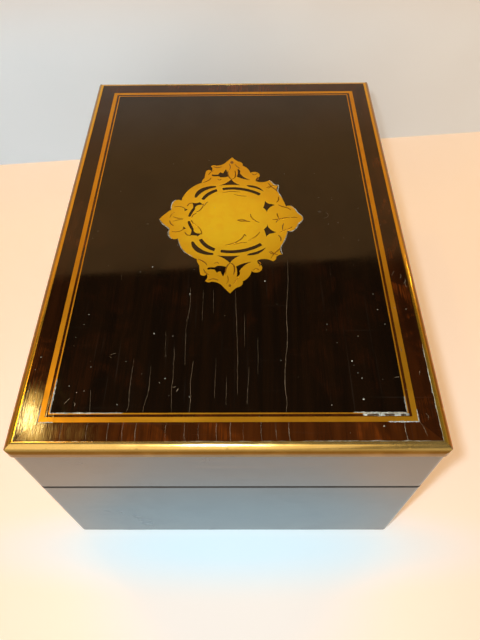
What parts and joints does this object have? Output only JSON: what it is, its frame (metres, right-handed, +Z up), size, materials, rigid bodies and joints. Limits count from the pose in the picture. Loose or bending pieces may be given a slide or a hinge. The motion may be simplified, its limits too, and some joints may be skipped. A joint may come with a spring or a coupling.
{
  "type": "wooden puzzle box",
  "caption": "Rectangular brass-bound wooden box with a hinged lid, brass string inlay, a pierced brass cartouche and a hidden sliding bolt worked from underneath.",
  "frame": {"origin": "middle of the underside, on the surface that the box stands on", "axes": "+X along the length, -Y is the front, +Z up; the lid opens towards +Y"},
  "size_m": [0.3, 0.2126, 0.145],
  "materials": {
    "coromandel_veneer": "French polished, high gloss, fine age cracks",
    "ebonised_wood": "black stained and polished",
    "carcass_wood": "plain, unpolished",
    "brass": "polished, lightly tarnished",
    "velvet": "short pile on card"
  },
  "bodies": {
    "case": {"case_back": "ebonised_wood", "case_floor": "carcass_wood", "case_front": "ebonised_wood", "case_hinge_leaf_left": "brass", "case_hinge_leaf_right": "brass", "case_hinge_screws": "brass", "case_left": "ebonised_wood", "case_lining_back": "velvet", "case_lining_front": "velvet", "case_lining_left": "velvet", "case_lining_right": "velvet", "case_right": "ebonised_wood", "floor_lining": "velvet", "hinge_pin_left": "brass", "hinge_pin_right": "brass", "lock_cap_plate": "brass", "lock_rim_plate": "brass", "lock_screws": "brass"},
    "lid": {"border_veneer_back": "coromandel_veneer", "border_veneer_front": "coromandel_veneer", "border_veneer_left": "coromandel_veneer", "border_veneer_right": "coromandel_veneer", "cartouche": "brass", "cartouche_infill": "coromandel_veneer", "field_veneer": "coromandel_veneer", "fillet_veneer": "coromandel_veneer", "lid_back": "ebonised_wood", "lid_front": "ebonised_wood", "lid_hinge_leaf_left": "brass", "lid_hinge_leaf_right": "brass", "lid_hinge_screws": "brass", "lid_left": "ebonised_wood", "lid_lining_back": "velvet", "lid_lining_front": "velvet", "lid_lining_left": "velvet", "lid_lining_right": "velvet", "lid_right": "ebonised_wood", "lid_top": "carcass_wood", "lid_top_lining": "velvet", "moulding_back": "brass", "moulding_front": "brass", "moulding_left": "brass", "moulding_pins": "brass", "moulding_right": "brass", "strike_plate": "brass", "strike_screws": "brass", "thin_string_back": "brass", "thin_string_front": "brass", "thin_string_left": "brass", "thin_string_right": "brass", "wide_string_back": "brass", "wide_string_front": "brass", "wide_string_left": "brass", "wide_string_right": "brass"},
    "lock_slide": {"lock_bolt": "brass", "secret_slip": "ebonised_wood"}
  },
  "joints": [
    {"name": "lid_hinge", "type": "hinge", "parent": "case", "child": "lid", "pos_m": [0, 0.1042, 0.0912], "axis": [-1, 0, 0], "range_deg": [0, 100]},
    {"name": "bolt_slide", "type": "slide", "parent": "case", "child": "lock_slide", "axis": [1, 0, 0], "range_m": [0, 0.008]}
  ]
}
